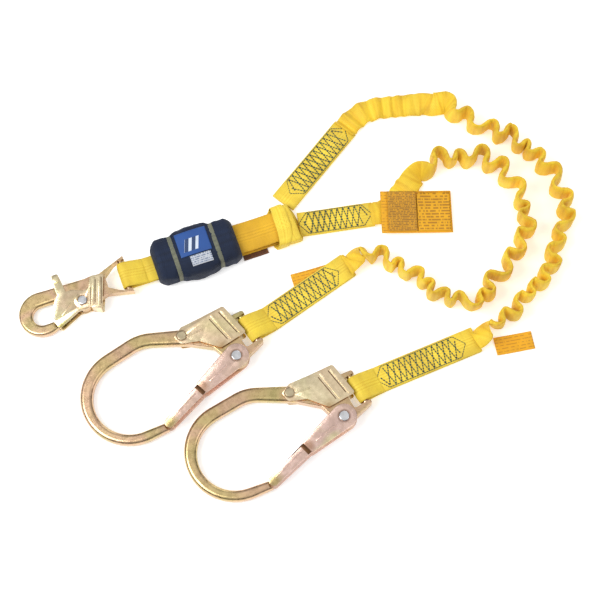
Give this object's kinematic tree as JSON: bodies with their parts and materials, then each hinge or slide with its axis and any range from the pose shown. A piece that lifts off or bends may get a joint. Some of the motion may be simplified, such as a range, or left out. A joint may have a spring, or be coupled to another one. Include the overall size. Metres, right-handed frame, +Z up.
{
  "type": "shock absorbing lanyard",
  "caption": "Twin-leg shock absorbing lanyard: snap hook, energy absorber pack, two crimped elastic webbing legs, each with a large locking rebar hook, laid out flat.",
  "frame": {"origin": "on the ground under the middle of the laid-out lanyard", "axes": "+Z up; +X from the snap hook towards the far turn of the legs; the pack's line is turned 19.5 degrees from +X"},
  "size_m": [0.7254, 0.5649, 0.035],
  "materials": {
    "band_elastic": "grey-olive elastic band",
    "elastic_webbing": "crimped tubular elastic webbing, yellow",
    "gate_steel": "stamped steel, yellow zinc plated",
    "hook_steel": "forged steel, yellow zinc plated",
    "label_blue": "printed blue label",
    "label_orange": "printed orange label",
    "label_white": "printed pale label",
    "pack_fabric": "navy woven nylon cover",
    "rivet_steel": "bright steel rivet",
    "spring_steel": "spring wire",
    "yellow_webbing": "woven polyester, yellow"
  },
  "bodies": {
    "webbing": {"hook_strap": "yellow_webbing", "label_leaf_left": "label_orange", "label_leaf_right": "label_orange", "label_pocket": "label_orange", "leg_a_elastic": "elastic_webbing", "leg_a_end_strap": "yellow_webbing", "leg_a_flag": "label_orange", "leg_a_start_strap": "yellow_webbing", "leg_b_elastic": "elastic_webbing", "leg_b_end_strap": "yellow_webbing", "leg_b_flag": "label_orange", "leg_b_start_strap": "yellow_webbing", "leg_yoke": "yellow_webbing", "pack_bands": "band_elastic", "pack_cover": "pack_fabric", "pack_info_panel": "label_white", "pack_label": "label_blue", "pack_loop": "yellow_webbing", "pack_loop_tab": "label_orange", "tear_webbing": "yellow_webbing"},
    "snap_hook": {"snap_hook_body": "hook_steel", "snap_hook_gate_spring": "spring_steel", "snap_hook_lock_spring": "spring_steel", "snap_hook_rivet": "rivet_steel"},
    "snap_gate": {"snap_hook_gate": "gate_steel"},
    "snap_lock": {"snap_hook_lock_lever": "gate_steel"},
    "rebar_a_hook": {"rebar_hook_a_body": "hook_steel", "rebar_hook_a_gate_rivet": "rivet_steel", "rebar_hook_a_gate_spring": "spring_steel", "rebar_hook_a_lock_rivet": "rivet_steel", "rebar_hook_a_lock_spring": "spring_steel"},
    "rebar_a_gate": {"rebar_hook_a_gate": "gate_steel"},
    "rebar_a_lock": {"rebar_hook_a_lock_lever": "gate_steel"},
    "rebar_b_hook": {"rebar_hook_b_body": "hook_steel", "rebar_hook_b_gate_rivet": "rivet_steel", "rebar_hook_b_gate_spring": "spring_steel", "rebar_hook_b_lock_rivet": "rivet_steel", "rebar_hook_b_lock_spring": "spring_steel"},
    "rebar_b_gate": {"rebar_hook_b_gate": "gate_steel"},
    "rebar_b_lock": {"rebar_hook_b_lock_lever": "gate_steel"}
  },
  "joints": [
    {"name": "snap_swing", "type": "hinge", "parent": "webbing", "child": "snap_hook", "pos_m": [-0.22697, 0.01479, 0.0145], "axis": [0.3338, -0.9426, 0], "range_deg": [-70, 70]},
    {"name": "snap_gate_hinge", "type": "hinge", "parent": "snap_hook", "child": "snap_gate", "pos_m": [-0.27905, -0.02063, 0.01131], "axis": [0.0493, 0.0175, -0.9986], "range_deg": [0, 25], "stiffness_Nm_per_rad": 0.3, "springref_deg": -17.19},
    {"name": "snap_lock_hinge", "type": "hinge", "parent": "snap_hook", "child": "snap_lock", "pos_m": [-0.27905, -0.02063, 0.01131], "axis": [-0.0493, -0.0175, 0.9986], "range_deg": [0, 10], "stiffness_Nm_per_rad": 0.2, "springref_deg": -11.46},
    {"name": "rebar_a_swing", "type": "hinge", "parent": "webbing", "child": "rebar_a_hook", "pos_m": [0.0732, -0.13863, 0.015], "axis": [0.515, -0.8572, 0], "range_deg": [-70, 70]},
    {"name": "rebar_a_gate_hinge", "type": "hinge", "parent": "rebar_a_hook", "child": "rebar_a_gate", "pos_m": [0.0554, -0.17499, 0.01396], "axis": [0.0263, 0.0158, -0.9995], "range_deg": [0, 38], "stiffness_Nm_per_rad": 0.4, "springref_deg": -17.19},
    {"name": "rebar_a_lock_hinge", "type": "hinge", "parent": "rebar_a_hook", "child": "rebar_a_lock", "pos_m": [-0.01286, -0.14484, 0.01264], "axis": [0.0263, 0.0158, -0.9995], "range_deg": [0, 8], "stiffness_Nm_per_rad": 0.3, "springref_deg": -11.46},
    {"name": "rebar_b_swing", "type": "hinge", "parent": "webbing", "child": "rebar_b_hook", "pos_m": [-0.06472, -0.05832, 0.015], "axis": [0.5664, -0.8241, 0], "range_deg": [-70, 70]},
    {"name": "rebar_b_gate_hinge", "type": "hinge", "parent": "rebar_b_hook", "child": "rebar_b_gate", "pos_m": [-0.08026, -0.0957, 0.01396], "axis": [0.0253, 0.0174, -0.9995], "range_deg": [0, 38], "stiffness_Nm_per_rad": 0.4, "springref_deg": -17.19},
    {"name": "rebar_b_lock_hinge", "type": "hinge", "parent": "rebar_b_hook", "child": "rebar_b_lock", "pos_m": [-0.15024, -0.06977, 0.01264], "axis": [0.0253, 0.0174, -0.9995], "range_deg": [0, 8], "stiffness_Nm_per_rad": 0.3, "springref_deg": -11.46}
  ],
  "couplings": [
    {"joint": "snap_lock_hinge", "follows": "snap_gate_hinge", "ratio": 0.4},
    {"joint": "rebar_a_lock_hinge", "follows": "rebar_a_gate_hinge", "ratio": 0.21},
    {"joint": "rebar_b_lock_hinge", "follows": "rebar_b_gate_hinge", "ratio": 0.21}
  ]
}
